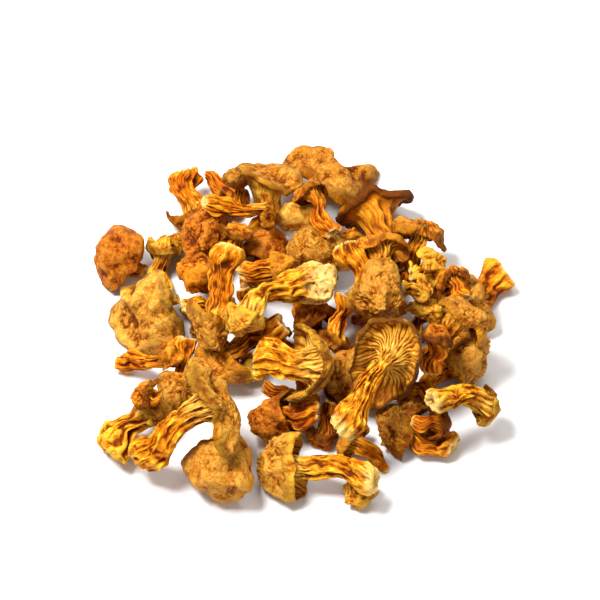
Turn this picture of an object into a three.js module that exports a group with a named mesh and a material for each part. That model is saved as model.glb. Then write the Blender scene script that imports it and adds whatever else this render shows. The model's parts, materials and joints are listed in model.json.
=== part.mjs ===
// A loose heap of dried golden chanterelle mushrooms, lying on a flat surface.
//
// Each mushroom grew as one piece, so each is one mesh: a ribbed stem that flares into a wavy cap, with the
// false gills running from the margin down the stem. Millimetres, +Z up, the origin on the surface under the
// middle of the heap. The viewer of the heap stands at -Y and looks down at SIGHT degrees.
import * as THREE from "three";

const { smoothstep, lerp, degToRad, radToDeg } = THREE.MathUtils;

// ---- driving dimensions ----------------------------------------------------------------------------------

const SIGHT = degToRad(58); // how steeply the viewer looks down on the heap
const FLESH = 2.2; // thickness of a dried cap, mm
const CLEAR = 1.3; // how far the rim stays from the middle of the stem, as a share of the stem's radius
const RIB = 0.09; // how deep the ribs are, as a share of the radius
const CELL = 0.5; // grid on which the heap is laid, mm
const FIELD = 120; // half the side of that grid, mm
const GAP = 0.35; // air left between two mushrooms that touch, mm
const LEANS = [-1, -0.75, -0.5, -0.25, 0, 0.25, 0.5, 0.75, 1]; // leans that a mushroom tries as it settles
const SWAYS = [-14, 0, 14]; // turns about its own length that it tries, degrees
const GRAIN = 0.6; // grid of space in which the mushrooms settle, mm
const CEILING = 90; // its height, mm
const AIM = 0.2; // what a mushroom pays for being seen out of its place, mm of height per square mm
const STIFF = 40; // and for being rolled over, mm of height
const STRIDES = [10, 6, 4, 2.5, 1.5, 0.8, 0.4]; // sizes of the shifts it tries, mm
const TRIES = 40; // how many it tries of each
const ROUNDS = 3; // how often the whole heap settles again
const SINK = 0.4; // how far a mushroom may sink into the surface, mm
const YIELD = 0.7; // and from how high up its underside is then pressed together, mm
const AIR = 0.03; // and how far that stays off the surface, mm
const FOOTING = 0.5; // smallest facet that a mushroom rests on, square mm
const PRESS = 0.5; // and how high that facet may have been before it is set down flat, mm

// The viewer's own axes: across the view, up the view, and out of the view towards the eye.
const ACROSS = new THREE.Vector3(1, 0, 0);
const UPWARD = new THREE.Vector3(0, Math.sin(SIGHT), Math.cos(SIGHT));
const TOWARD = new THREE.Vector3(0, -Math.cos(SIGHT), Math.sin(SIGHT));

// What a cap looks like, as shares of its radius. flare: how far the rim stands above the stem's top. crown:
// height of the middle over the rim, below 0 for a funnel. margin: how far the edge turns down. lobe and
// wave: unevenness of the rim in plan and in height. dent: unevenness of the top.
const FORMS = {
  button: { flare: 0.3, crown: 0.42, margin: 0.48, lobe: 0.11, wave: 0.1, dent: 0.2 },
  open: { flare: 0.45, crown: 0.0, margin: 0.3, lobe: 0.11, wave: 0.12, dent: 0.12 },
  funnel: { flare: 0.9, crown: -0.42, margin: 0.12, lobe: 0.12, wave: 0.15, dent: 0.06 },
  ear: { flare: 0.5, crown: 0.05, margin: 0.3, lobe: 0.18, wave: 0.16, dent: 0.18 },
  crumple: { flare: 0.5, crown: 0.2, margin: 0.4, lobe: 0.2, wave: 0.16, dent: 0.2 },
};

// The colour of the dried skin and flesh.
const TINTS = { gold: 0xd9941c, amber: 0xb96a17, tan: 0xb98037, rust: 0x94481a, pale: 0xd6a957 };

// The mushrooms, from the bottom of the heap up. foot and cap: where the stem's foot and the middle of the
// cap's rim are seen, mm across and up the view. near: how much nearer to the viewer the cap is than the
// foot, mm. radius: of the cap. girth: radius of the stem, and club: its foot's, over that. bend: how far the
// stem turns clockwise as seen, and nod: how far the cap then turns its top to the viewer, degrees. oval:
// depth of the cap over its width. fold: how far the cap's sides rise along a line through its middle,
// radians, and which way that line runs from the viewer's side, degrees. sides: facets round it, an even
// number. spikes: where the rim runs out, degrees round from the viewer's side, by what share of the radius,
// and how wide, degrees.
const MUSHROOMS = [
  { name: "crown_cap", form: "ear", tint: "tan", foot: [0, 38], cap: [10, 61], near: 0,
    radius: 16.5, girth: 3.1, club: 1.3, bend: 20, nod: 15, oval: 0.75, fold: [-0.35, 0], sides: 18,
    spikes: [[160, 0.75, 9], [200, 0.3, 9]] },
  { name: "scoop_cap", form: "funnel", tint: "tan", foot: [-16, 36], cap: [-13, 60], near: 0,
    radius: 14.5, girth: 4.8, club: 1.1, bend: 0, nod: -30, oval: 0.7, fold: [-0.3, 0], sides: 14 },
  { name: "knob_back", form: "button", tint: "tan", foot: [-24, 47], cap: [-26, 60], near: 0,
    radius: 5, girth: 2.6, club: 1.1, bend: 0, nod: 20, oval: 0.8, fold: [-0.4, 0], sides: 10 },
  { name: "horn_back", form: "crumple", tint: "rust", foot: [-40, 61], cap: [-27, 47], near: 0,
    radius: 6, girth: 4.0, club: 0.6, bend: 25, nod: 0, oval: 0.8, fold: [-0.4, 0], sides: 10 },
  { name: "club_back_left", form: "open", tint: "amber", foot: [-48, 60], cap: [-42, 40], near: 0,
    radius: 12, girth: 5.7, club: 1.35, bend: 0, nod: -30, oval: 0.7, fold: [-0.6, 0], sides: 12 },
  { name: "maroon_trumpet", form: "funnel", tint: "rust", foot: [32, 23], cap: [25, 50], near: 0,
    radius: 14, girth: 6.2, club: 1.1, bend: -8, nod: -42, oval: 0.95, fold: [-0.3, 0], sides: 16 },
  { name: "upright_gilled", form: "open", tint: "amber", foot: [41, 18], cap: [47, 38], near: 0,
    radius: 11.5, girth: 4.4, club: 1.1, bend: 15, nod: -52, oval: 0.75, fold: [-0.3, 0], sides: 18 },
  { name: "thin_stem", form: "crumple", tint: "amber", foot: [22, 25], cap: [20, 34], near: 0,
    radius: 4, girth: 3.1, club: 1.1, bend: 20, nod: 0, oval: 0.8, fold: [0.3, 0], sides: 10 },
  { name: "smooth_ear", form: "button", tint: "pale", foot: [1, 38], cap: [-6, 46], near: 3,
    radius: 8, girth: 3.1, club: 1.1, bend: 0, nod: 50, oval: 0.8, fold: [-0.4, 60], sides: 12 },
  { name: "left_round_cap", form: "button", tint: "rust", foot: [-64, 20], cap: [-75, 28], near: 5,
    radius: 11, girth: 3.5, club: 1.1, bend: 0, nod: 65, oval: 0.95, fold: [-0.1, 30], sides: 14 },
  { name: "horned_gold", form: "crumple", tint: "gold", foot: [-62, 14], cap: [-60, 32], near: 0,
    radius: 7.5, girth: 4.4, club: 1.2, bend: 0, nod: 10, oval: 0.8, fold: [-0.3, 0], sides: 12,
    spikes: [[180, 0.8, 18]] },
  { name: "left_pale_cap", form: "ear", tint: "pale", foot: [-52, 14], cap: [-63, 5], near: 6,
    radius: 15, girth: 4.4, club: 1.1, bend: 0, nod: 75, oval: 1, fold: [0.2, 60], sides: 18,
    spikes: [[80, 0.22, 18], [140, 0.12, 12]] },
  { name: "tan_knob", form: "button", tint: "tan", foot: [-46, -6], cap: [-51, -28], near: 2,
    radius: 9.5, girth: 4.0, club: 1.2, bend: 10, nod: 35, oval: 0.85, fold: [-0.5, 0], sides: 12 },
  { name: "split_oval", form: "crumple", tint: "gold", foot: [-77, -50], cap: [-58, -33], near: 0,
    radius: 8.5, girth: 6.6, club: 1.4, bend: 8, nod: 0, oval: 0.9, fold: [-0.3, 0], sides: 14 },
  { name: "lump_left", form: "crumple", tint: "amber", foot: [-57, -30], cap: [-63, -27], near: 2,
    radius: 5.5, girth: 3.1, club: 1.1, bend: 0, nod: 20, oval: 0.8, fold: [-0.4, 0], sides: 8 },
  { name: "forked_stem", form: "crumple", tint: "amber", foot: [-74, -16], cap: [-52, -16], near: 0,
    radius: 5, girth: 3.5, club: 1.5, bend: -30, nod: 0, oval: 0.8, fold: [-0.4, 0], sides: 10 },
  { name: "rusty_cap", form: "button", tint: "rust", foot: [-26, 36], cap: [-39, 31], near: 5,
    radius: 14, girth: 4.0, club: 1.1, bend: 0, nod: 60, oval: 0.72, fold: [-0.3, -30], sides: 14 },
  { name: "crumpled_rust", form: "crumple", tint: "rust", foot: [-35, 25], cap: [-44, 20], near: 3,
    radius: 8.5, girth: 3.1, club: 1.1, bend: 0, nod: 50, oval: 0.85, fold: [-0.5, 20], sides: 12 },
  { name: "left_bits", form: "crumple", tint: "rust", foot: [-46, -6], cap: [-48, 6], near: 0,
    radius: 5.5, girth: 3.1, club: 1.1, bend: 0, nod: 0, oval: 0.8, fold: [-0.4, 0], sides: 10 },
  { name: "olive_cap", form: "ear", tint: "tan", foot: [81, 20], cap: [63, 8], near: 2,
    radius: 13.5, girth: 5.7, club: 1.3, bend: 0, nod: 50, oval: 0.85, fold: [-0.4, 0], sides: 14,
    spikes: [[-150, 0.25, 16]] },
  { name: "right_round_cap", form: "button", tint: "tan", foot: [47, -26], cap: [66, -14], near: 0,
    radius: 12.5, girth: 4.4, club: 1.1, bend: 10, nod: 35, oval: 0.8, fold: [-0.6, 0], sides: 14 },
  { name: "right_gilled", form: "open", tint: "tan", foot: [51, -17], cap: [66, 4], near: 0,
    radius: 11.5, girth: 4.4, club: 1.1, bend: 10, nod: -20, oval: 0.6, fold: [-0.5, 0], sides: 18 },
  { name: "rust_stem_right", form: "crumple", tint: "rust", foot: [51, -19], cap: [54, -4], near: 0,
    radius: 5.5, girth: 4.4, club: 1.1, bend: 0, nod: 0, oval: 0.8, fold: [-0.4, 0], sides: 10 },
  { name: "gold_crumple_right", form: "crumple", tint: "gold", foot: [42, 20], cap: [52, 22], near: 2,
    radius: 7, girth: 3.5, club: 1.1, bend: 0, nod: 30, oval: 0.6, fold: [-0.4, 0], sides: 12 },
  { name: "orange_dome", form: "button", tint: "rust", foot: [-21, 15], cap: [-14, 32], near: 0,
    radius: 10, girth: 4.4, club: 1.3, bend: 20, nod: 40, oval: 0.85, fold: [-0.4, 0], sides: 10 },
  { name: "brain_cap", form: "button", tint: "tan", foot: [9, 17], cap: [2, 30], near: 5,
    radius: 12.5, girth: 3.5, club: 1.1, bend: 0, nod: 60, oval: 0.8, fold: [-0.3, 20], sides: 14 },
  { name: "orange_tube", form: "crumple", tint: "amber", foot: [-24, 15], cap: [-20, -2], near: 0,
    radius: 6, girth: 3.5, club: 1.1, bend: 0, nod: 0, oval: 0.8, fold: [-0.4, 0], sides: 10 },
  { name: "dark_crumple", form: "crumple", tint: "rust", foot: [6, -6], cap: [2, 3], near: 2,
    radius: 10, girth: 4.4, club: 1.1, bend: 0, nod: 30, oval: 0.8, fold: [-0.5, 30], sides: 10 },
  { name: "mid_stem", form: "crumple", tint: "amber", foot: [16, 12], cap: [11, -6], near: 0,
    radius: 5.5, girth: 4.4, club: 1.1, bend: 0, nod: 0, oval: 0.8, fold: [0.3, 0], sides: 10 },
  { name: "under_tan", form: "button", tint: "rust", foot: [20, 13], cap: [31, 5], near: 3,
    radius: 11, girth: 4.0, club: 1.1, bend: 0, nod: 45, oval: 0.7, fold: [-0.4, 0], sides: 12 },
  { name: "ribbon_back", form: "crumple", tint: "amber", foot: [-38, 46], cap: [-16, 43], near: 0,
    radius: 6, girth: 3.1, club: 1.1, bend: -10, nod: 0, oval: 0.7, fold: [0.5, 0], sides: 10 },
  { name: "amber_bit", form: "crumple", tint: "amber", foot: [-25, 29], cap: [-26, 38], near: 0,
    radius: 5, girth: 3.1, club: 1.1, bend: 0, nod: 20, oval: 0.8, fold: [0.4, 0], sides: 10 },
  { name: "small_table_cap", form: "open", tint: "amber", foot: [34, 18], cap: [32, 30], near: 0,
    radius: 11, girth: 4.0, club: 1.1, bend: 0, nod: -12, oval: 0.7, fold: [-0.25, 0], sides: 14 },
  { name: "torn_gold", form: "crumple", tint: "gold", foot: [44, -2], cap: [52, 6], near: 2,
    radius: 7, girth: 3.5, club: 1.1, bend: 0, nod: 30, oval: 0.7, fold: [-0.6, 0], sides: 10 },
  { name: "gold_scrap", form: "crumple", tint: "gold", foot: [40, 14], cap: [47, 12], near: 1,
    radius: 5, girth: 2.6, club: 1.1, bend: 0, nod: 20, oval: 0.8, fold: [-0.4, 0], sides: 8 },
  { name: "small_pale", form: "crumple", tint: "pale", foot: [-23, -12], cap: [-21, -20], near: 2,
    radius: 6, girth: 3.5, club: 1.1, bend: 0, nod: 30, oval: 0.8, fold: [0, 0], sides: 10 },
  { name: "behind_star", form: "button", tint: "tan", foot: [32, -29], cap: [19, -16], near: 4,
    radius: 14, girth: 4.0, club: 1.1, bend: 0, nod: 55, oval: 0.85, fold: [-0.3, 0], sides: 14 },
  { name: "stem_across", form: "crumple", tint: "gold", foot: [-52, 9], cap: [-31, 7], near: 0,
    radius: 5.5, girth: 3.5, club: 1.2, bend: 0, nod: 0, oval: 0.8, fold: [-0.4, 0], sides: 10 },
  { name: "under_fold", form: "crumple", tint: "rust", foot: [-16, -25], cap: [0, -30], near: 0,
    radius: 7, girth: 2.6, club: 1.3, bend: 0, nod: 0, oval: 0.95, fold: [-0.2, 0], sides: 10 },
  { name: "under_crown", form: "crumple", tint: "rust", foot: [8, 33], cap: [2, 52], near: 0,
    radius: 6, girth: 4.0, club: 1.1, bend: 0, nod: 0, oval: 0.8, fold: [-0.3, 0], sides: 8 },
  { name: "brown_edge", form: "crumple", tint: "rust", foot: [65, 10], cap: [60, 19], near: 0,
    radius: 5.5, girth: 3.5, club: 1.1, bend: 0, nod: 0, oval: 0.8, fold: [-0.3, 0], sides: 8 },
  { name: "gold_wedge", form: "crumple", tint: "amber", foot: [-25, 18], cap: [-8, 22], near: 0,
    radius: 5.5, girth: 4.0, club: 1.1, bend: 0, nod: 0, oval: 0.8, fold: [-0.3, 0], sides: 8 },
  { name: "under_star", form: "crumple", tint: "rust", foot: [51, -28], cap: [42, -27], near: 0,
    radius: 7, girth: 4.4, club: 1.1, bend: 0, nod: 10, oval: 0.8, fold: [-0.3, 0], sides: 8 },
  { name: "under_front", form: "crumple", tint: "rust", foot: [13, -31], cap: [9, -45], near: 0,
    radius: 6.5, girth: 3.5, club: 1.1, bend: 0, nod: 10, oval: 0.8, fold: [-0.3, 0], sides: 8 },
  { name: "low_wedge", form: "crumple", tint: "amber", foot: [-1, -10], cap: [-7, -3], near: 0,
    radius: 5.5, girth: 3.5, club: 1.1, bend: 0, nod: 0, oval: 0.8, fold: [-0.3, 0], sides: 8 },
  { name: "bottom_round_cap", form: "button", tint: "tan", foot: [-34, -44], cap: [-34, -60], near: 6,
    radius: 12, girth: 3.5, club: 1.1, bend: 0, nod: 68, oval: 1.15, fold: [-0.2, 20], sides: 14,
    spikes: [[-129, 0.35, 16]] },
  { name: "side_cap_left", form: "button", tint: "rust", foot: [6, -36], cap: [-13, -38], near: 0,
    radius: 11, girth: 4.4, club: 1.1, bend: -10, nod: 10, oval: 0.7, fold: [-0.8, 0], sides: 12,
    spikes: [[-90, 0.2, 20]] },
  { name: "bottom_hook", form: "crumple", tint: "gold", foot: [26, -61], cap: [21, -69], near: 0,
    radius: 5.5, girth: 4.0, club: 1, bend: 0, nod: 10, oval: 0.8, fold: [-0.7, 0], sides: 10 },
  { name: "long_bottom", form: "button", tint: "gold", foot: [30, -61], cap: [-8, -56], near: 0,
    radius: 13, girth: 5.3, club: 1.05, bend: -10, nod: 10, oval: 0.7, fold: [-0.3, 0], sides: 14 },
  { name: "tapered_foot", form: "open", tint: "amber", foot: [34, -57], cap: [18, -46], near: 0,
    radius: 8, girth: 4.0, club: 0.45, bend: 0, nod: -45, oval: 0.7, fold: [-0.4, 0], sides: 12 },
  { name: "side_cap_low_right", form: "button", tint: "tan", foot: [59, -50], cap: [37, -40], near: 0,
    radius: 10.5, girth: 5.3, club: 1.3, bend: 0, nod: 8, oval: 0.6, fold: [-0.45, 0], sides: 12 },
  { name: "dark_gilled", form: "open", tint: "rust", foot: [43, -38], cap: [53, -39], near: 0,
    radius: 6.5, girth: 3.1, club: 1.1, bend: 0, nod: -50, oval: 0.8, fold: [-0.4, 0], sides: 10 },
  { name: "hooked_right", form: "crumple", tint: "gold", foot: [48, -33], cap: [73, -33], near: 0,
    radius: 6, girth: 4.8, club: 1.2, bend: 45, nod: 0, oval: 0.8, fold: [-0.6, 0], sides: 12,
    spikes: [[90, 0.5, 20]] },
  { name: "sausage_cap", form: "button", tint: "amber", foot: [-8, 0], cap: [-33, -16], near: 0,
    radius: 11, girth: 4.4, club: 1.4, bend: 0, nod: 12, oval: 0.7, fold: [-0.4, 0], sides: 14 },
  { name: "star_gills", form: "open", tint: "gold", foot: [14, -41], cap: [36, -12], near: 0,
    radius: 16, girth: 4.0, club: 1.65, bend: -40, nod: -65, oval: 0.95, fold: [-0.35, 0], sides: 26 },
  { name: "side_fan", form: "open", tint: "gold", foot: [-65, -54], cap: [-34, -30], near: 0,
    radius: 18.5, girth: 5.7, club: 1.2, bend: 10, nod: -42, oval: 0.5, fold: [-0.15, 0], sides: 24 },
  { name: "gold_fold", form: "open", tint: "gold", foot: [-18, -16], cap: [7, -19], near: 0,
    radius: 17, girth: 6.6, club: 1.3, bend: 10, nod: -38, oval: 0.65, fold: [-0.5, 0], sides: 24 },
  { name: "wrinkled_front", form: "button", tint: "tan", foot: [-29, 30], cap: [-36, -2], near: 0,
    radius: 10.5, girth: 4.8, club: 1.3, bend: 0, nod: 12, oval: 0.62, fold: [-0.7, 0], sides: 14 },
  { name: "tan_centre", form: "button", tint: "tan", foot: [18, 32], cap: [30, 11], near: 2,
    radius: 13, girth: 4.8, club: 1.1, bend: 0, nod: 45, oval: 0.8, fold: [-0.45, 0], sides: 14 },
  { name: "long_arch", form: "crumple", tint: "gold", foot: [15, 14], cap: [-23, 0], near: 0,
    radius: 6, girth: 5.7, club: 1.45, bend: -75, nod: 0, oval: 0.8, fold: [-0.4, 0], sides: 14 },
];

// ---- one mushroom's shape --------------------------------------------------------------------------------

const X = new THREE.Vector3(1, 0, 0);
const Y = new THREE.Vector3(0, 1, 0);
const Z = new THREE.Vector3(0, 0, 1);
const STEPS = 20; // of the line up the middle of a mushroom
const COLLAR = 6; // the first of the outline's points that belongs to the cap
const UNDERSIDE = 9; // and the last that lies under it

// A repeatable stream of numbers from 0 to 1 for one mushroom.
function drawsFrom(seed) {
  let state = seed;
  return () => {
    state = (state + 0x6d2b79f5) | 0;
    let t = Math.imul(state ^ (state >>> 15), 1 | state);
    t = (t + Math.imul(t ^ (t >>> 7), 61 | t)) ^ t;
    return ((t ^ (t >>> 14)) >>> 0) / 4294967296;
  };
}

// The half outline of a straight, round mushroom: points [radius, height] from the foot's middle up to the
// crown's.
function outline({ radius, girth, club }, form, stem) {
  const rise = form.flare * radius;
  const drop = (share) => form.margin * radius * share ** 4;
  const under = (share) => [
    lerp(girth, radius, share ** 1.5),
    stem + rise * share ** 0.85 + 0.3 * drop(1) * Math.sin(Math.PI * share) - drop(share),
  ];
  const over = (share) => [
    radius * share,
    stem + rise + FLESH + form.crown * radius * (1 - share ** 2) + 0.3 * drop(1) - drop(share),
  ];
  return [
    [0, 0.5],
    [0.75 * club * girth, 0],
    [club * girth, 0.12 * stem],
    [lerp(club, 1, 0.7) * girth, 0.36 * stem],
    [0.9 * girth, 0.6 * stem],
    [0.92 * girth, 0.82 * stem],
    under(0.1),
    under(0.42),
    under(0.76),
    under(1),
    [1.03 * radius, over(1)[1] - 0.35 * FLESH],
    over(0.8),
    over(0.4),
    [0, over(0)[1]],
  ];
}

// The line up the middle of a mushroom, as steps of place and turn for a stem 1 long.
function spineOf(m) {
  const places = [new THREE.Vector3()];
  const turns = [];
  for (let i = 0; i <= STEPS; i++) {
    const share = i / STEPS;
    const bent = new THREE.Quaternion().setFromAxisAngle(X, -degToRad(m.bend) * share);
    const nodded = new THREE.Quaternion().setFromAxisAngle(Y, degToRad(m.nod) * smoothstep(share, 0.35, 1));
    turns.push(bent.multiply(nodded));
    if (i) places.push(places[i - 1].clone().addScaledVector(Z.clone().applyQuaternion(turns[i]), 1 / STEPS));
  }
  return { places, turns };
}

// How far the rim runs out where a cap has a spike, as a share of its radius.
function spikeAt(m, degrees) {
  let sum = 0;
  for (const [way, size, width] of m.spikes ?? []) {
    const off = THREE.MathUtils.euclideanModulo(degrees - way + 180, 360) - 180;
    sum += size * Math.exp(-((off / width) ** 2));
  }
  return sum;
}

// One mushroom: its foot at the origin and the middle of its rim on the Z axis, `length` up where its cap
// allows.
function mushroomGeometry(m, length, seed) {
  const draw = drawsFrom(seed);
  const form = FORMS[m.form];
  const rise = form.flare * m.radius;
  const { places, turns } = spineOf(m);
  const neck = places[STEPS];
  const ahead = Z.clone().applyQuaternion(turns[STEPS]);
  // The stem's length follows from the foot-to-rim length: a quadratic, as the cap's rise does not stretch.
  const half = rise * neck.dot(ahead);
  const root = Math.sqrt(Math.max(half ** 2 - neck.lengthSq() * (rise ** 2 - length ** 2), 0));
  const stem = Math.max((root - half) / neck.lengthSq(), 1.5 * m.girth);
  const rimMiddle = neck.clone().multiplyScalar(stem).addScaledVector(ahead, rise);
  const upright = new THREE.Quaternion().setFromUnitVectors(rimMiddle.clone().normalize(), Z);
  const points = outline(m, form, stem);
  const geometry = new THREE.LatheGeometry(points.map(([r, h]) => new THREE.Vector2(r, h)), m.sides);
  const phase = Array.from({ length: 12 }, () => 2 * Math.PI * draw());
  const [foldTurn, foldLine] = [m.fold[0] / m.radius, degToRad(m.fold[1])];
  const at = geometry.attributes.position;
  const point = new THREE.Vector3();
  for (let i = 0; i < at.count; i++) {
    const ring = i % points.length;
    const angle = (2 * Math.PI * Math.floor(i / points.length)) / m.sides;
    const [r0, h0] = points[ring];
    const isTop = ring > UNDERSIDE;
    const capShare = ring < COLLAR ? 0 : smoothstep(r0, (isTop ? 0.6 : 0.95) * m.girth, m.radius);
    const stemShare = 1 - smoothstep(h0, 0.6 * stem, stem);
    // Ribs on the stem and under the cap, the uneven rim, and the uneven stem.
    const rib = RIB * Math.cos((m.sides / 2) * angle);
    const lobes = Math.cos(angle + phase[1]) + Math.cos(2 * angle + phase[2])
      + 0.8 * Math.cos(3 * angle + phase[3]);
    const waves = Math.cos(2 * angle + phase[6]) + 0.7 * Math.cos(3 * angle + phase[7])
      + 0.35 * Math.cos(5 * angle + phase[8]);
    const spike = spikeAt(m, radToDeg(angle));
    // However uneven, the rim clears the stem that it hangs beside.
    const clear = (CLEAR * m.girth) / (m.radius * Math.hypot(m.oval * Math.cos(angle), Math.sin(angle))) - 1;
    const reach = 1 + Math.max(form.lobe * lobes, clear) + spike;
    // The underside runs from the stem's girth out to the rim, and the top from the middle.
    const start = ring < COLLAR ? r0 : isTop ? 0 : Math.min(r0, m.girth);
    const spread = (width) => lerp(start, width * m.radius, (r0 - start) / (m.radius - start));
    const sway = 0.13 * stemShare * Math.sin(0.35 * h0 + phase[4]);
    const ripple = (1 + rib * lerp(1, 0.2, capShare))
      * (1 + sway + 0.09 * Math.cos(2 * angle + 0.12 * h0 + phase[5]));
    let h = h0 + capShare * m.radius * (form.wave * waves + spike);
    if (ring >= COLLAR && ring < UNDERSIDE) h += 0.8 * capShare * rib * r0;
    // Dents halfway out on the top of the cap.
    const inward = r0 / m.radius;
    const dents = Math.cos(angle + phase[0]) + Math.cos(2 * angle + phase[11]);
    if (ring > UNDERSIDE + 1) h += 4 * form.dent * m.radius * inward * (1 - inward) ** 2 * dents;
    // The stem's ribs wind round it, and its section is flattened.
    const wound = angle + 0.5 * stemShare * (1 - h0 / stem) * Math.sin(phase[9]);
    let x = ripple * spread(m.oval * reach) * Math.cos(wound) * lerp(1, 0.8, stemShare);
    let y = ripple * spread(reach) * Math.sin(wound);
    // The cap folds along one line through its middle.
    if (foldTurn) {
      const off = y * Math.cos(foldLine) - x * Math.sin(foldLine);
      const shift = capShare * (Math.sin(foldTurn * off) / foldTurn - off);
      x -= shift * Math.sin(foldLine);
      y += shift * Math.cos(foldLine);
      h += (capShare * (1 - Math.cos(foldTurn * off))) / foldTurn;
    }
    // A slow sway of the stem, and then the whole is bent along its spine.
    const share = THREE.MathUtils.clamp(h / stem, 0, 1) * STEPS;
    y += 0.25 * m.girth * stemShare * Math.sin((2 * Math.PI * share) / STEPS + phase[10]);
    const step = Math.min(Math.floor(share), STEPS - 1);
    const turn = turns[step].clone().slerp(turns[step + 1], share - step);
    point.set(x, y, h - (share / STEPS) * stem).applyQuaternion(turn);
    point.addScaledVector(places[step].clone().lerp(places[step + 1], share - step), stem);
    point.applyQuaternion(upright);
    at.setXYZ(i, point.x, point.y, point.z);
  }
  geometry.deleteAttribute("normal");
  geometry.deleteAttribute("uv");
  geometry.userData.reach = rimMiddle.length();
  return geometry;
}

// ---- laying the heap -------------------------------------------------------------------------------------

const CELLS = Math.round((2 * FIELD) / CELL);

// The heap so far as it is seen: how far each cell of the view comes out towards the viewer.
const heapFront = new Float32Array(CELLS * CELLS).fill(-Infinity);

const cellOf = (column, row) => (row + CELLS / 2) * CELLS + column + CELLS / 2;

// Calls visit(cell, depth) for each cell of the view whose middle a triangle covers. Corners are given as
// (across, up, towards).
function sweepTriangle([a, b, c], visit) {
  const twice = (b.x - a.x) * (c.y - a.y) - (c.x - a.x) * (b.y - a.y);
  if (Math.abs(twice) < 1e-9) return;
  const columnHigh = Math.floor(Math.max(a.x, b.x, c.x) / CELL);
  const rowHigh = Math.floor(Math.max(a.y, b.y, c.y) / CELL);
  for (let row = Math.ceil(Math.min(a.y, b.y, c.y) / CELL); row <= rowHigh; row++) {
    const y = row * CELL - a.y;
    for (let column = Math.ceil(Math.min(a.x, b.x, c.x) / CELL); column <= columnHigh; column++) {
      const x = column * CELL - a.x;
      const u = (x * (c.y - a.y) - (c.x - a.x) * y) / twice;
      const v = ((b.x - a.x) * y - x * (b.y - a.y)) / twice;
      if (u >= 0 && v >= 0 && u + v <= 1) visit(cellOf(column, row), a.z + u * (b.z - a.z) + v * (c.z - a.z));
    }
  }
}

// The triangles of a turned mushroom as the viewer sees them, with its rim's middle seen at `cap`.
function seenTriangles(geometry, turn, cap) {
  const at = geometry.attributes.position;
  const rim = Z.clone().multiplyScalar(geometry.userData.reach).applyQuaternion(turn);
  const points = Array.from({ length: at.count }, (_, i) => {
    const p = new THREE.Vector3().fromBufferAttribute(at, i).applyQuaternion(turn).sub(rim);
    return new THREE.Vector3(cap[0] + p.dot(ACROSS), cap[1] + p.dot(UPWARD), p.dot(TOWARD));
  });
  const index = geometry.index.array;
  const triangles = [];
  for (let i = 0; i < index.length; i += 3) {
    triangles.push([points[index[i]], points[index[i + 1]], points[index[i + 2]]]);
  }
  return triangles;
}

const heightOf = (p) => p.y * UPWARD.z + p.z * TOWARD.z;

// How far towards the viewer a mushroom comes to rest, moved away from the viewer on to the heap so far.
function restingDepth(triangles) {
  let depth = -Infinity;
  for (const triangle of triangles) {
    for (const p of triangle) depth = Math.max(depth, (-SINK - heightOf(p)) / TOWARD.z);
    sweepTriangle(triangle, (cell, own) => {
      depth = Math.max(depth, heapFront[cell] + GAP - own);
    });
  }
  return depth;
}

// Adds a laid mushroom to the front of the heap, one cell wider than it is.
function addToFront(triangles, depth) {
  for (const triangle of triangles) {
    sweepTriangle(triangle, (cell, own) => {
      for (const down of [-CELLS, 0, CELLS]) {
        for (const aside of [-1, 0, 1]) {
          heapFront[cell + down + aside] = Math.max(heapFront[cell + down + aside], own + depth);
        }
      }
    });
  }
}

// The turn that takes a standing mushroom to its lie: its stem along `way`, its +X to the viewer, then
// swayed.
function turnAlong(way, sway) {
  const z = way.clone().normalize();
  const x = TOWARD.clone().addScaledVector(z, -TOWARD.dot(z)).normalize().applyAxisAngle(z, sway);
  return new THREE.Quaternion().setFromRotationMatrix(
    new THREE.Matrix4().makeBasis(x, new THREE.Vector3().crossVectors(z, x), z));
}

// Lays one mushroom: of the lies that look as wanted to the viewer, the one that goes deepest is kept.
function lay(m, seed) {
  const across = m.cap[0] - m.foot[0];
  const up = m.cap[1] - m.foot[1];
  let best = null;
  for (const lean of LEANS) {
    const way = new THREE.Vector3()
      .addScaledVector(ACROSS, across)
      .addScaledVector(UPWARD, up)
      .addScaledVector(TOWARD, m.near + lean * Math.max(0.6 * Math.hypot(across, up), 5));
    const geometry = mushroomGeometry(m, way.length(), seed);
    for (const sway of SWAYS) {
      const turn = turnAlong(way, degToRad(sway));
      const triangles = seenTriangles(geometry, turn, m.cap);
      const depth = restingDepth(triangles);
      const rim = TOWARD.clone().multiplyScalar(depth);
      rim.addScaledVector(ACROSS, m.cap[0]).addScaledVector(UPWARD, m.cap[1]);
      const foot = rim.clone().addScaledVector(way, -geometry.userData.reach / way.length());
      const height = lerp(foot.z, rim.z, 0.6) + 1.5 * Math.abs(lean);
      if (!best || height < best.height) best = { height, depth, triangles, geometry, turn, foot };
    }
  }
  addToFront(best.triangles, best.depth);
  const material = new THREE.MeshStandardMaterial({ color: TINTS[m.tint], roughness: 0.7 });
  material.flatShading = true;
  const mesh = new THREE.Mesh(best.geometry, material);
  mesh.name = m.name;
  mesh.position.copy(best.foot);
  mesh.quaternion.copy(best.turn);
  mesh.userData.laid = best.turn;
  return mesh;
}

// ---- settling the heap -----------------------------------------------------------------------------------

const WIDE = Math.round((2 * FIELD) / GRAIN);
const TALL = Math.round(CEILING / GRAIN);

// How many points of the mushrooms lie in or right beside each grain of space.
const taken = new Uint16Array(WIDE * WIDE * TALL);

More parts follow.
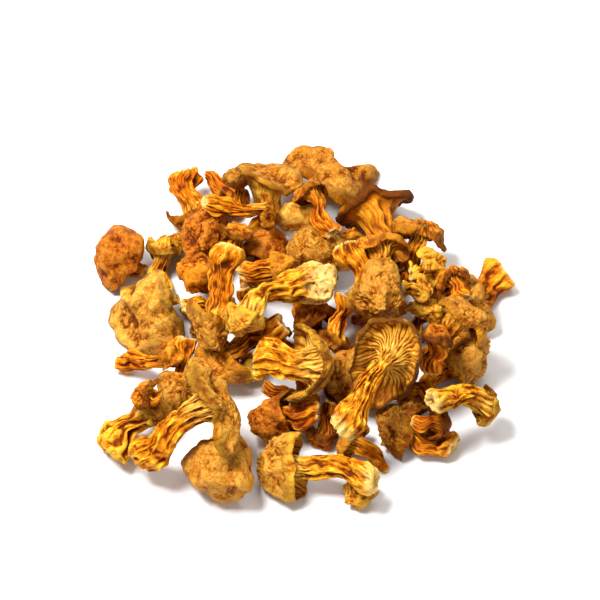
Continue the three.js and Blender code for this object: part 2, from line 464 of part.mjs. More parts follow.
// Points spread over a geometry's surface, no more than a grain apart.
function surfacePoints(geometry) {
  const at = geometry.attributes.position;
  const index = geometry.index.array;
  const [a, b, c] = [new THREE.Vector3(), new THREE.Vector3(), new THREE.Vector3()];
  const points = [];
  for (let i = 0; i < index.length; i += 3) {
    a.fromBufferAttribute(at, index[i]);
    b.fromBufferAttribute(at, index[i + 1]).sub(a);
    c.fromBufferAttribute(at, index[i + 2]).sub(a);
    const cuts = Math.max(1, Math.ceil(Math.max(b.length(), c.length(), b.distanceTo(c)) / (0.9 * GRAIN)));
    for (let j = 0; j <= cuts; j++) {
      for (let k = 0; k <= cuts - j; k++) {
        const [u, v] = [j / cuts, k / cuts];
        points.push(a.x + b.x * u + c.x * v, a.y + b.y * u + c.y * v, a.z + b.z * u + c.z * v);
      }
    }
  }
  return Float32Array.from(points);
}

// Calls visit(grain) for each surface point of a mushroom in a lie, until one returns true or has sunk in.
function someGrain(points, { position, turn }, visit) {
  const e = new THREE.Matrix4().makeRotationFromQuaternion(turn).elements;
  for (let i = 0; i < points.length; i += 3) {
    const [x, y, z] = [points[i], points[i + 1], points[i + 2]];
    const height = e[2] * x + e[6] * y + e[10] * z + position.z;
    if (height < -SINK) return true;
    const column = Math.floor((e[0] * x + e[4] * y + e[8] * z + position.x + FIELD) / GRAIN);
    const row = Math.floor((e[1] * x + e[5] * y + e[9] * z + position.y + FIELD) / GRAIN);
    const level = Math.floor((height + 2 * GRAIN) / GRAIN);
    if (visit((level * WIDE + row) * WIDE + column)) return true;
  }
  return false;
}

// Marks a mushroom's grains, and those beside them, as taken (1) or left (-1).
function mark(points, lie, change) {
  someGrain(points, lie, (grain) => {
    for (const rise of [-WIDE * WIDE, 0, WIDE * WIDE]) {
      for (const down of [-WIDE, 0, WIDE]) {
        for (const aside of [-1, 0, 1]) taken[grain + rise + down + aside] += change;
      }
    }
    return false;
  });
}

const isBlocked = (points, lie) => someGrain(points, lie, (grain) => taken[grain] > 0);

// What a lie costs: the height of the mushroom's middle, how far its two ends are seen from where they should
// be, and how far it has rolled.
function costOf(m, mesh, { position, turn }) {
  const rim = Z.clone().multiplyScalar(mesh.geometry.userData.reach).applyQuaternion(turn).add(position);
  const missOf = (p, seen) => (p.dot(ACROSS) - seen[0]) ** 2 + (p.dot(UPWARD) - seen[1]) ** 2;
  const rolled = 1 - mesh.userData.laid.dot(turn) ** 2;
  const missed = missOf(rim, m.cap) + 0.5 * missOf(position, m.foot);
  return lerp(position.z, rim.z, 0.6) + AIM * missed + STIFF * rolled;
}

// Lets one mushroom shift and roll by ever smaller steps into the cheapest free lie near its own.
function settle(m, mesh, points, draw) {
  const lie = { position: mesh.position.clone(), turn: mesh.quaternion.clone() };
  while (isBlocked(points, lie)) lie.position.addScaledVector(TOWARD, GRAIN);
  let cost = costOf(m, mesh, lie);
  for (const step of STRIDES) {
    for (let i = 0; i < TRIES; i++) {
      const shift = new THREE.Vector3(draw() - 0.5, draw() - 0.5, draw() - 0.5);
      shift.addScaledVector(TOWARD, 0.4 - 2 * draw()).multiplyScalar(step);
      const axis = new THREE.Vector3(draw() - 0.5, draw() - 0.5, draw() - 0.5).normalize();
      const roll = new THREE.Quaternion().setFromAxisAngle(axis, (draw() * step) / 12);
      const next = { position: lie.position.clone().add(shift), turn: roll.multiply(lie.turn) };
      const nextCost = costOf(m, mesh, next);
      if (nextCost >= cost || isBlocked(points, next)) continue;
      lie.position.copy(next.position);
      lie.turn.copy(next.turn);
      cost = nextCost;
    }
  }
  mesh.position.copy(lie.position);
  mesh.quaternion.copy(lie.turn);
  mark(points, lie, 1);
}

// ---- the heap --------------------------------------------------------------------------------------------

const heap = new THREE.Group();
heap.name = "chanterelle_heap";
heap.add(...MUSHROOMS.map((m, i) => lay(m, 101 + 7 * i)));

const draw = drawsFrom(13);
const surfaces = heap.children.map((mesh) => surfacePoints(mesh.geometry));
heap.children.forEach((mesh, i) => settle(MUSHROOMS[i], mesh, surfaces[i], draw));
for (let round = 0; round < ROUNDS; round++) {
  heap.children.forEach((mesh, i) => {
    mark(surfaces[i], { position: mesh.position, turn: mesh.quaternion }, -1);
    settle(MUSHROOMS[i], mesh, surfaces[i], draw);
  });
}

// The corners of a mushroom's lowest facet that is large enough to rest on.
function lowestFacet(places, index) {
  let depth = Infinity;
  let lowest = [];
  for (let i = 0; i < index.length; i += 3) {
    const corners = [places[index[i]], places[index[i + 1]], places[index[i + 2]]];
    const height = corners[0].z + corners[1].z + corners[2].z;
    if (height >= depth || new THREE.Triangle(...corners).getArea() < FOOTING) continue;
    depth = height;
    lowest = corners;
  }
  return lowest;
}

// Presses the underside of a mushroom against the surface: its lowest facet flat upon it, and what else is
// as low nearly so.
function press(mesh) {
  mesh.updateMatrixWorld();
  const at = mesh.geometry.attributes.position;
  const places = Array.from({ length: at.count }, (_, i) => {
    return mesh.localToWorld(new THREE.Vector3().fromBufferAttribute(at, i));
  });
  const facet = lowestFacet(places, mesh.geometry.index.array);
  const rests = facet.every((corner) => corner.z < PRESS);
  const isCorner = (place) => facet.some((corner) => place.distanceTo(corner) < 1e-4);
  const heights = places.map((place) => {
    if (rests && isCorner(place)) return 0;
    const share = (place.z + SINK) / (YIELD + SINK);
    return share < 1 ? lerp(AIR, YIELD, share ** 3) : place.z;
  });
  places.forEach((place, i) => {
    mesh.worldToLocal(place.setZ(heights[i]));
    at.setXYZ(i, place.x, place.y, place.z);
  });
}

heap.children.forEach(press);

const middle = new THREE.Box3().setFromObject(heap, true).getCenter(new THREE.Vector3());
for (const mesh of heap.children) mesh.position.sub(middle.setZ(0));

export default heap;
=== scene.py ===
"""A loose heap of dried chanterelle mushrooms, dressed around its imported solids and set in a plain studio.

Each mushroom's solid is a coarse skin of rings, from the middle of the foot to the middle of the cap. Here a
fine skin is drawn over the same rings, and the drying is put into it: folds and fibres along the stem, gills
under the cap, and wrinkles on top. Metres, +Z up; the viewer of the heap stands at -Y.
"""
import json
import math

import bmesh
import bpy
import numpy as np
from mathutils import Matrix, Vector


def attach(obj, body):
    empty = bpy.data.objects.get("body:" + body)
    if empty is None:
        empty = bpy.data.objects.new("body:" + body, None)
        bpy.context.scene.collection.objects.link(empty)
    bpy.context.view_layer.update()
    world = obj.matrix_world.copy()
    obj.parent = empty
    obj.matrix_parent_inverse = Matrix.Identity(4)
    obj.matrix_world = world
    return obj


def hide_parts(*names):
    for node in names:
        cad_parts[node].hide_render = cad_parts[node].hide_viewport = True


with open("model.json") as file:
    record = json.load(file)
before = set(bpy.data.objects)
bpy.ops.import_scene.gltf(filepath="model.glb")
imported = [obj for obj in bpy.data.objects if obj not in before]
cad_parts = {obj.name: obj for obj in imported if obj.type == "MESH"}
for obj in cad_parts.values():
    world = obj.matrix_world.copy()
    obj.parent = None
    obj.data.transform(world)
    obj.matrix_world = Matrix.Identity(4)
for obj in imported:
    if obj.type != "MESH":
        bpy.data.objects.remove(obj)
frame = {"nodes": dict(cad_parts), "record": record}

bl_info = {
    "name": "Dried Chanterelle Heap",
    "version": (1, 0, 0),
    "blender": (4, 5, 0),
    "location": "3D View > Sidebar > Chanterelles",
    "description": "Dresses a heap of dried chanterelle mushrooms and sets it in a plain studio",
    "category": "Object",
}

MM = 0.001
SAME_CORNER = 0.01 * MM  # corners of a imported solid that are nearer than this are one
WELD = 0.002 * MM  # and so are points of a fine skin that are nearer than this
OFF_FLOOR = 0.02 * MM  # how far the lowest skin stays off the floor
LEAST_GAP = 0.2 * MM  # two rings count as at least this far apart

# The rings of a packed mushroom, counted from the middle of the foot.
NECK = 5.5
RIM_UNDER = 9
RIM = 10
LAST_RING = 13

# How each kind of mushroom has dried, in mm. folds: deep furrows along the stem; fibre: the fine ones between
# them; gills; lumps: broad dents; creases: on the cap, and grain is how wide they are; frill: the margin's
# unevenness. skin: how far the cap's own colour differs from the stem's, as a share.
KINDS = {
    "smooth": dict(folds=0.6, fibre=0.3, gills=0.12, lumps=0.6, creases=0.25, grain=2.2, frill=0.5, skin=1.0),
    "brain": dict(folds=1.2, fibre=0.5, gills=0.4, lumps=0.8, creases=0.6, grain=1.9, frill=0.7, skin=1.0),
    "gilled": dict(folds=1.1, fibre=0.45, gills=0.5, lumps=0.7, creases=0.4, grain=2.4, frill=0.8, skin=1.0),
    "stem": dict(folds=1.5, fibre=0.6, gills=0.5, lumps=0.7, creases=0.5, grain=2.3, frill=0.8, skin=0.6),
    "crumple": dict(folds=1.7, fibre=0.6, gills=0.4, lumps=1.2, creases=0.7, grain=2.6, frill=1.0, skin=0.4),
}
# How many rings up from the foot a stem was cut through, and where that is not just its very end.
CUT_END = 1.2
CUT_ENDS = {
    "long_arch": 2.6, "star_gills": 1.7, "gold_wedge": 2.2, "long_bottom": 1.8, "hooked_right": 1.6,
    "split_oval": 0.6,
}
# How far the drying has pulled the whole heap out of true, and how wide the places are that it pulls alike,
# broadly and more closely, in mm.
CRUMPLE = 1.3
CRUMPLE_BROAD = 9
CRUMPLE_CLOSE = 4.5
# The margin: how wide and how much thicker its lip is, and how far from it the browning starts to fade and is
# gone, in mm.
LIP_WIDTH = 1.2
LIP_HEIGHT = 0.45
BROWNING_FADES = (0.3, 3.0)
# The torn foot, in mm: how rough it is, and how deep the dimple is in its middle.
TORN_ROUGH = 0.5
DIMPLE = 0.9
PORES = 0.1  # how rough all the flesh is, mm

# The fine skin: how many columns and rows it may have. How often its points are evened out, to find its close
# form and then its broad form. What counts as full relief and as a full hollow.
COLUMNS = (64, 240)
ROWS = (48, 110)
CLOSE_PASSES = 5
BROAD_PASSES = 25
FULL_RELIEF = 0.2 * MM
FULL_HOLLOW = 0.6 * MM
SEED_STEP = 17  # from one mushroom's seed to the next
# The space in which the strands are drawn: how wide it is round the mushroom, and how many mm of the
# mushroom's length make one unit of it.
STRAND_ROUND = 4
STRAND_LENGTH = 7

# The mushrooms of each kind: name, how many gills there are round it, its shade, from -1, dark, to 1, and how
# far its cap has browned, from 0 to 1.
HEAP = {
    "smooth": [
        ("crown_cap", 60, -0.3, 0.4), ("scoop_cap", 56, 0.1, 0.45), ("smooth_ear", 40, 0.3, 0.05),
        ("left_round_cap", 44, -0.1, 0.35), ("left_pale_cap", 60, 0.0, 0.5),
        ("bottom_round_cap", 48, 0.4, 0.15), ("olive_cap", 56, 0.0, 0.3),
        ("maroon_trumpet", 64, -0.1, 1.0), ("orange_dome", 36, 0.0, 0.5),
    ],
    "brain": [
        ("tan_knob", 36, -0.1, 0.5), ("right_round_cap", 48, 0.1, 0.2), ("brain_cap", 44, 0.1, 0.15),
        ("behind_star", 44, -0.1, 0.5), ("side_cap_left", 44, -0.1, 0.5), ("long_bottom", 48, 0.25, 0.3),
        ("side_cap_low_right", 44, -0.2, 0.5), ("sausage_cap", 44, 0.15, 0.3),
        ("wrinkled_front", 44, 0.1, 0.4), ("tan_centre", 44, 0.1, 0.3), ("knob_back", 28, -0.1, 0.9),
        ("under_tan", 40, -0.3, 0.5), ("rusty_cap", 48, -0.15, 0.4),
    ],
    "gilled": [
        ("star_gills", 84, 0.3, 1.0), ("gold_fold", 76, 0.4, 0.6), ("side_fan", 84, 0.15, 0.5),
        ("upright_gilled", 60, 0.1, 0.5), ("right_gilled", 60, -0.1, 0.4), ("dark_gilled", 40, -0.4, 0.8),
        ("tapered_foot", 44, 0.25, 0.3), ("small_table_cap", 48, 0.0, 0.5), ("club_back_left", 52, 0.1, 0.4),
    ],
    "stem": [
        ("long_arch", 32, 0.3, 0.2), ("hooked_right", 32, 0.2, 0.4), ("stem_across", 30, 0.1, 0.4),
        ("forked_stem", 28, -0.1, 0.5), ("orange_tube", 28, 0.0, 0.5), ("mid_stem", 28, -0.2, 0.6),
        ("ribbon_back", 28, 0.1, 0.4), ("thin_stem", 20, 0.0, 0.5), ("bottom_hook", 32, 0.2, 0.2),
        ("horn_back", 30, -0.1, 0.6), ("rust_stem_right", 24, -0.2, 0.7), ("gold_wedge", 28, 0.2, 0.3),
        ("low_wedge", 24, -0.1, 0.5), ("under_front", 26, -0.3, 0.6), ("split_oval", 36, 0.3, 0.3),
    ],
    "crumple": [
        ("horned_gold", 34, 0.2, 0.5), ("lump_left", 28, -0.1, 0.5), ("crumpled_rust", 36, 0.1, 0.4),
        ("left_bits", 26, -0.4, 0.6), ("gold_crumple_right", 36, 0.5, 0.1), ("dark_crumple", 34, -0.2, 0.7),
        ("amber_bit", 28, 0.1, 0.5), ("torn_gold", 32, 0.3, 0.2), ("gold_scrap", 26, 0.4, 0.2),
        ("small_pale", 30, 0.1, 0.3), ("under_fold", 30, -0.2, 0.6), ("under_crown", 28, -0.1, 0.5),
        ("brown_edge", 28, -0.1, 0.6), ("under_star", 28, -0.3, 0.6),
    ],
}

# ---- noise -------------------------------------------------------------------------------------------------

# Large numbers that scatter the cells and the seeds, and the 32 bits that are kept of what comes out.
CELL_SCATTER = (73856093, 19349663, 83492791)
SEED_SCATTER = 2654435761
TURN_SCATTER = 1274126177
BITS = 0xFFFFFFFF
HALF_BITS = 0x7FFFFFFF


def lattice(cells, seed):
    """A slope for each whole cell: a number from -1 to 1 along each axis."""
    x, y, z = (cells[..., axis] * scatter for axis, scatter in enumerate(CELL_SCATTER))
    mixed = x ^ y ^ z ^ seed * SEED_SCATTER
    slope = []
    for _ in range(3):
        mixed = (mixed ^ (mixed >> 13)) * TURN_SCATTER & BITS
        mixed = (mixed ^ (mixed >> 16)) & BITS
        slope.append(mixed / HALF_BITS - 1.0)
    return np.stack(slope, -1)


def noise(points, seed):
    """Smooth noise from about -1 to 1 at each point; its cells are one unit wide."""
    base = np.floor(points)
    part = points - base
    cells = base.astype(np.int64)
    fade = part * part * part * (part * (part * 6 - 15) + 10)
    total = np.zeros(points.shape[:-1])
    for corner in np.ndindex(2, 2, 2):
        step = np.array(corner)
        share = np.prod(np.where(step, fade, 1 - fade), -1)
        slope = lattice(cells + step, seed)
        total += share * np.sum(slope * (part - step), -1)
    return total * 1.5


def billow(points, seed):
    """Rounded hills with soft creases between them, from about -1 in the creases to 0 on the hills."""
    return 2.2 * np.sqrt(noise(points, seed) ** 2 + 0.006) - 1.0


def ridges(points, seed):
    """Narrow ridges with wide hollows between them, from about -1 in the hollows to 0 on the ridges."""
    return -2.2 * np.sqrt(noise(points, seed) ** 2 + 0.004)


def puckered(points):
    """Points of the heap, pulled out of true: all that lies together goes together."""
    mm = points / MM
    pull = np.stack([
        noise(mm / CRUMPLE_BROAD + 17 * k, 5) + 0.5 * noise(mm / CRUMPLE_CLOSE + 29 * k, 6) for k in range(3)
    ], -1)
    pull[..., 2] *= smoothstep(mm[..., 2], 0.5, 6)
    return points + CRUMPLE * MM * pull


def smoothstep(value, low, high):
    """0 at low and beyond it, 1 at high and beyond it, and smooth between."""
    share = np.clip((value - low) / (high - low), 0, 1)
    return share * share * (3 - 2 * share)


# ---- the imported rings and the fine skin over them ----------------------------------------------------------


def rings_of(solid):
    """The corners of a mushroom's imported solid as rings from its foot's middle to its cap's, and columns."""
    bm = bmesh.new()
    bm.from_mesh(solid.data)
    bmesh.ops.remove_doubles(bm, verts=bm.verts, dist=SAME_CORNER)
    poles = sorted(bm.verts, key=lambda v: len(v.link_edges))[-2:]
    sides = len(poles[0].link_edges)
    best = None
    for pole in poles:
        ring_of = {pole: 0}
        rings = [[pole]]
        while len(ring_of) < len(bm.verts):
            around = {e.other_vert(v) for v in rings[-1] for e in v.link_edges} - set(ring_of)
            ring_of.update((v, len(rings)) for v in around)
            rings.append(list(around))
        if len(rings) != LAST_RING + 1 or any(len(ring) != sides for ring in rings[1:-1]):
            raise RuntimeError(f"{solid.name}: its packed solid is not the {LAST_RING + 1} rings expected")
        middles = [sum((v.co for v in ring), Vector()) / len(ring) for ring in rings]
        reach = [sum((v.co - m).length for v in ring) / len(ring) for ring, m in zip(rings, middles)]
        wider = reach[RIM_UNDER] + reach[RIM] - reach[LAST_RING - RIM_UNDER] - reach[LAST_RING - RIM]
        if best is None or wider > best[0]:
            best = (wider, rings, ring_of, middles)
    _, rings, ring_of, middles = best

    def beside(v, ring):
        return [e.other_vert(v) for e in v.link_edges if ring_of[e.other_vert(v)] == ring]

    start = max(rings[1], key=lambda v: (round(v.co.x, 6), round(v.co.y, 6)))
    ahead = middles[3] - middles[1]

    def leads(v):
        return (start.co - middles[1]).cross(v.co - middles[1]).dot(ahead)

    order = [start, max(beside(start, 1), key=leads)]
    while len(order) < sides:
        order.append(next(v for v in beside(order[-1], 1) if v is not order[-2]))
    grid = [[rings[0][0].co.copy()] * sides, [v.co.copy() for v in order]]
    for ring in range(2, LAST_RING):
        shifted = order[1:] + order[:1]
        order = [next(v for v in beside(a, ring) if v in beside(b, ring)) for a, b in zip(order, shifted)]
        grid.append([v.co.copy() for v in order])
    grid.append([rings[-1][0].co.copy()] * sides)
    bm.free()
    return np.array(grid)


def fine_skin(grid, across, along):
    """A smooth skin through the rings: its points, and which ring and how far along each row is."""
    sides = grid.shape[1]
    beyond = np.roll(grid, sides // 2, axis=1)
    grid = np.concatenate([beyond[1:2], grid, beyond[-2:-1]])
    gaps = np.linalg.norm(np.diff(grid, axis=0), axis=2).mean(axis=1)
    gaps = np.maximum(gaps, LEAST_GAP)
    knots = np.concatenate([[0], np.cumsum(gaps)]) - gaps[0]
    # Around: an even curve through the columns.
    u = np.arange(across + 1) % across * sides / across
    i = np.floor(u).astype(int)
    f = (u - i)[None, :, None]
    p0, p1, p2, p3 = (grid[:, (i + k) % sides] for k in (-1, 0, 1, 2))
    even = p1 + 0.5 * f * (p2 - p0 + f * (2 * p0 - 5 * p1 + 4 * p2 - p3 + f * (3 * (p1 - p2) + p3 - p0)))
    # Along: a curve through the rings, whose slope at each is a parabola's through it and its neighbours.
    step = np.diff(even, axis=0) / gaps[:, None, None]
    weight = (gaps[1:] / (gaps[:-1] + gaps[1:]))[:, None, None]
    slope = weight * step[:-1] + (1 - weight) * step[1:]
    t = np.linspace(0, knots[-2], along + 1)
    k = np.clip(np.searchsorted(knots, t, side="right") - 1, 1, LAST_RING)
    h = gaps[k][:, None, None]
    s = ((t - knots[k]) / gaps[k])[:, None, None]
    a, b = even[k], even[k + 1]
    da, db = slope[k - 1] * h, slope[k] * h
    points = a + s * (da + s * (3 * (b - a) - 2 * da - db + s * (2 * (a - b) + da + db)))
    ring = np.interp(t, knots[1:-1], np.arange(LAST_RING + 1))
    return points, ring, t


def outward(points):
    """The outward normal at each point of a skin."""
    around = np.roll(points[:, :-1], -1, axis=1) - np.roll(points[:, :-1], 1, axis=1)
    along = np.gradient(points[:, :-1], axis=0)
    normal = np.cross(around, along)
    normal[0] = normal[1].mean(axis=0)
    normal[-1] = normal[-2].mean(axis=0)
    normal /= np.maximum(np.linalg.norm(normal, axis=2, keepdims=True), 1e-12)
    return np.concatenate([normal, normal[:, :1]], axis=1)


def softened(field, times):
    """A field over a skin, smoothed: round it without a seam, and along it."""
    body = field[:, :-1].copy()
    for _ in range(times):
        body = (np.roll(body, 1, axis=1) + 2 * body + np.roll(body, -1, axis=1)) / 4
        body[1:-1] = (body[:-2] + 2 * body[1:-1] + body[2:]) / 4
    return np.concatenate([body, body[:, :1]], axis=1)


# ---- the drying --------------------------------------------------------------------------------------------


def parts_of(mm, ring, reach, cut_end, seed):
    """Where each part of a mushroom is, from 0 to 1: by its ring, and by how far off the margin is."""
    inner, outer = np.interp((RIM_UNDER, RIM), ring[:, 0], reach)
    from_rim = np.maximum(np.maximum(inner - reach, reach - outer), 0)[:, None] / MM + 0 * ring
    before_rim = 1 - smoothstep(ring, RIM_UNDER - 0.3, RIM_UNDER + 0.5)
    return {
        "foot": 1 - smoothstep(ring, cut_end - 0.5, cut_end + 0.4),
        "stem": smoothstep(ring, 0.6, 2.0) * (1 - smoothstep(ring, 4.5, 7.5)),
        "under": smoothstep(ring, NECK - 1, NECK + 1) * before_rim,
        "margin": np.exp(-(((ring - RIM + 0.1) / 0.9) ** 2)),
        "lip": np.exp(-((from_rim / LIP_WIDTH) ** 2)),
        "edge": 1 - smoothstep(from_rim + 0.9 * noise(mm / 3.5, seed + 22), *BROWNING_FADES),
        "top": smoothstep(ring, RIM_UNDER + 0.3, RIM + 0.5),
    }


def gill_grooves(mm, ring, twist, gills, seed):
    """How deep the grooves between the gills are, from 0 to 1. The gills waver, and fork on their way out."""
    fanned = twist + 0.035 * noise(mm / 4, seed + 19) + 0.05 * noise(mm / 11, seed + 20)
    crest = np.abs(np.cos(0.5 * gills * fanned))
    fork = np.abs(np.cos(0.25 * gills * fanned + 0.9))
    joined = smoothstep(ring + 0.9 * noise(mm / 4, seed + 14), 8.0, 6.8)
    return 1 - np.maximum(crest * (1 - joined), fork)


def cap_wrinkles(mm, grain, seed):
    """How strongly a cap has wrinkled at each point, which is very unevenly, and its wrinkles."""
    uneven = 0.25 + 0.75 * smoothstep(noise(mm / 8, seed + 15), -0.35, 0.3)
    warp = np.stack([noise(mm / 3.4 + 31 * k, seed + 2) for k in range(3)], -1)
    close = mm / grain + 0.55 * warp
    return uneven, billow(close, seed + 7) + 0.5 * billow(2.1 * close, seed + 8)


def dried(points, ring, reach, look, gills, cut_end, seed):
    """The skin's relief as it dried: how far each point stands out, in metres, and where each zone is."""
    columns = points.shape[1]
    angle = np.linspace(0, 2 * math.pi, columns)[None, :]
    ring = ring[:, None] + np.zeros((1, columns))
    mm = points / MM
    part = parts_of(mm, ring, reach, cut_end, seed)
    stem, under, margin, top = (part[name] for name in ("stem", "under", "margin", "top"))
    # Coordinates that run round and along the mushroom, so that what follows them joins up all round.
    wander = noise(mm / 6, seed + 1) + 0.5 * noise(mm / 2.4, seed + 12)
    twist = angle + 0.03 * reach[:, None] / MM * math.sin(seed)
    turned = twist + 0.2 * wander
    runs = reach[:, None] / MM + 2.2 * noise(mm / 4.5, seed + 13)

    def lengthwise(count, length, key):
        """Where each point is in a pattern with so many strands all round, each so many mm long."""
        size = count / (2 * math.pi)
        return np.stack([size * np.cos(turned), size * np.sin(turned), runs / length], -1) + 7.3 * key

    height = look["lumps"] * (0.7 * noise(mm / 7, seed + 3) + 0.3 * noise(mm / 3.3, seed + 17))
    # Furrows, ridges and fibres along the stem, and on towards the gills.
    below = 1 - top
    cords = billow(lengthwise(7, 15, 1), seed + 4)
    pleats = ridges(lengthwise(11, 12, 5), seed + 18)
    height += look["folds"] * (0.1 + 0.9 * stem) * below * (0.3 + 0.55 * cords + 0.45 * pleats)
    height += look["fibre"] * below * (0.4 + 0.6 * stem) * billow(lengthwise(19, 11, 2), seed + 5)
    height += 0.5 * look["fibre"] * below * billow(lengthwise(38, 8, 3), seed + 6)
    grooves = look["gills"] * gill_grooves(mm, ring, twist, gills, seed)
    height -= grooves * under
    uneven, wrinkles = cap_wrinkles(mm, look["grain"], seed)
    height += 1.15 * look["creases"] * ((top + 0.4 * margin) * uneven) * wrinkles
    height += look["frill"] * margin * noise(lengthwise(14, 30, 4), seed + 9)
    # The margin has rolled in to a thicker lip.
    height += LIP_HEIGHT * part["lip"] * (1 + 0.8 * noise(mm / 3, seed + 21))
    height += TORN_ROUGH * part["foot"] * noise(mm / 1.5, seed + 10) - DIMPLE * np.exp(-((ring / 0.3) ** 2))
    height += PORES * noise(mm / 1.5, seed + 11)
    # The gills are bright on their crests, a painted highlight, and deep in the grooves between them, a painted
    # shade; and brighter by the stem than by the margin.
    comb = 1.05 - 1.7 * grooves - 0.7 * smoothstep(ring, 6.8, 9.3)
    zones = {
        "cap": top, "skin": look["skin"] * top, "gill": under, "comb": comb,
        "edge": part["edge"], "foot": part["foot"],
    }
    return height * MM, zones


# ---- mushrooms ---------------------------------------------------------------------------------------------


def columns_and_rows(grid, kind, gills, settings):
    """How many columns and rows the fine skin over a mushroom's rings has, by the mushroom's size."""
    fine = settings.fine_gilled if kind == "gilled" else settings.fine
    round_length = np.linalg.norm(np.diff(grid, axis=1), axis=2).sum(axis=1).max() / MM
    run_length = np.linalg.norm(np.diff(grid, axis=0), axis=2).mean(axis=1).sum() / MM
    across = int(np.clip(round_length / fine, *COLUMNS)) // 4 * 4
    if kind == "gilled":
        across = max(across, 4 * gills)
    return across, int(np.clip(run_length / fine, *ROWS))


def relief_of(points):
    """How far each point stands out from the skin's close form, and that form lies under its broad one."""
    close = softened(points, CLOSE_PASSES)
    broad = softened(close, BROAD_PASSES)
    normal = outward(close)
    relief = np.sum((points - close) * normal, axis=2) / FULL_RELIEF
    hollow = np.sum((broad - close) * normal, axis=2) / FULL_HOLLOW
    return np.clip(relief, -1, 1), np.clip(hollow, -1, 1)


def strand_places(reach, across):
    """Where each point is in the space in which the strands are drawn, joined up all round."""
    angle = np.linspace(0, 2 * math.pi, across + 1)[None, :]
    run = reach[:, None] / MM
    return np.stack([
        STRAND_ROUND * np.cos(angle) + 0 * run, STRAND_ROUND * np.sin(angle) + 0 * run,
        run / STRAND_LENGTH + 0 * angle,
    ], -1)


def draw_skin(name, points, attributes):
    """A closed mesh through a skin's points, with what its finish has to know of each point."""
    bpy.ops.object.select_all(action="DESELECT")
    bpy.ops.mesh.primitive_grid_add(
        x_subdivisions=points.shape[1] - 1, y_subdivisions=points.shape[0] - 1, size=1, calc_uvs=True,
    )
    piece = bpy.context.active_object
    piece.name = name
    piece.data.name = name
    piece.location = (0, 0, 0)
    piece.data.vertices.foreach_set("co", points.reshape(-1))
    for key, values in attributes.items():
        vector = values.ndim == 3
        made = piece.data.attributes.new(key, "FLOAT_VECTOR" if vector else "FLOAT", "POINT")
        made.data.foreach_set("vector" if vector else "value", np.ravel(values).astype(np.float32))
    bpy.ops.object.mode_set(mode="EDIT")
    bpy.ops.mesh.select_all(action="SELECT")
    bpy.ops.mesh.remove_doubles(threshold=WELD)
    bpy.ops.mesh.normals_make_consistent(inside=False)
    bpy.ops.object.mode_set(mode="OBJECT")
    bpy.ops.object.shade_smooth()
    return piece


def dress(name, kind, gills, shade, browned, settings):
    """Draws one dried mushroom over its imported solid, rides it on the heap and gives it its finish."""
    seed = SEED_STEP * sorted(frame["nodes"]).index(name)
    look = dict(KINDS[kind])
    for depth in ("folds", "fibre", "creases", "lumps", "frill"):
        look[depth] *= settings.wrinkling
    look["gills"] *= settings.gill_depth
    grid = rings_of(frame["nodes"][name])
    across, along = columns_and_rows(grid, kind, gills, settings)
    points, ring, reach = fine_skin(grid, across, along)
    height, zones = dried(points, ring, reach, look, gills, CUT_ENDS.get(name, CUT_END), seed)
    points = points + outward(points) * height[..., None]
    points[0] = points[0].mean(axis=0)
    points[-1] = points[-1].mean(axis=0)
    points = puckered(points)
    points[..., 2] = np.maximum(points[..., 2], OFF_FLOOR)
    relief, hollow = relief_of(points)
    piece = draw_skin("dried_" + name, points, {
        "relief": relief,
        "hollow": hollow,
        "shade": np.full(points.shape[:2], shade),
        "browned": np.full(points.shape[:2], browned),
        "fibre": strand_places(reach, across) + seed,
        **zones,
    })
    slot = slot_of(name)
    piece.data.materials.clear()
    piece.data.materials.append(finish_of(slot, settings))
    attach(piece, "root")
    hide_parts(name)


def slot_of(name):
    """The material slot that the record gives a mushroom."""
    return next(part["material_slot"] for part in frame["record"]["subparts"] if part["node"] == name)


# ---- finishes ----------------------------------------------------------------------------------------------

# Each slot's colours, each deep, middling and bright: the flesh of the stem, its gills, and the cap's skin.
# The deep and bright ends carry painted shade in creases and a painted highlight on ridges, as well as the
# flesh's own uneven colour.
TINTS = {
    "gold": dict(
        flesh=((0.170, 0.024, 0.0007), (0.560, 0.168, 0.0024), (0.770, 0.410, 0.0270)),
        gill=((0.300, 0.070, 0.0027), (0.600, 0.272, 0.0220), (0.770, 0.525, 0.0980)),
        skin=((0.180, 0.044, 0.0028), (0.440, 0.158, 0.0118), (0.570, 0.285, 0.0390)),
    ),
    "amber": dict(
        flesh=((0.140, 0.017, 0.0007), (0.490, 0.113, 0.0014), (0.740, 0.288, 0.0109)),
        gill=((0.260, 0.056, 0.0014), (0.540, 0.192, 0.0082), (0.740, 0.413, 0.0476)),
        skin=((0.150, 0.028, 0.0014), (0.420, 0.119, 0.0061), (0.600, 0.239, 0.0218)),
    ),
    "tan": dict(
        flesh=((0.160, 0.024, 0.0007), (0.520, 0.137, 0.0020), (0.760, 0.336, 0.0177)),
        gill=((0.300, 0.072, 0.0020), (0.580, 0.230, 0.0122), (0.760, 0.442, 0.0612)),
        skin=((0.165, 0.037, 0.0022), (0.425, 0.144, 0.0106), (0.545, 0.258, 0.0340)),
    ),
    "rust": dict(
        flesh=((0.110, 0.013, 0.0007), (0.420, 0.088, 0.0014), (0.680, 0.240, 0.0082)),
        gill=((0.190, 0.034, 0.0007), (0.460, 0.130, 0.0041), (0.680, 0.288, 0.0170)),
        skin=((0.110, 0.016, 0.0007), (0.380, 0.092, 0.0048), (0.540, 0.183, 0.0150)),
    ),
    "pale": dict(
        flesh=((0.220, 0.046, 0.0018), (0.590, 0.210, 0.0070), (0.810, 0.460, 0.0450)),
        gill=((0.340, 0.110, 0.0041), (0.660, 0.326, 0.0306), (0.800, 0.538, 0.1020)),
        skin=((0.230, 0.060, 0.0046), (0.550, 0.220, 0.0200), (0.690, 0.365, 0.0540)),
    ),
}
# The colours that the shader group takes, in the order of a tint's own, and then those of every tint.
COLOURS = (
    "Flesh deep", "Flesh", "Flesh bright", "Gill deep", "Gill", "Gill bright",
    "Skin deep", "Skin", "Skin bright", "Browning and shade", "Cut",
)
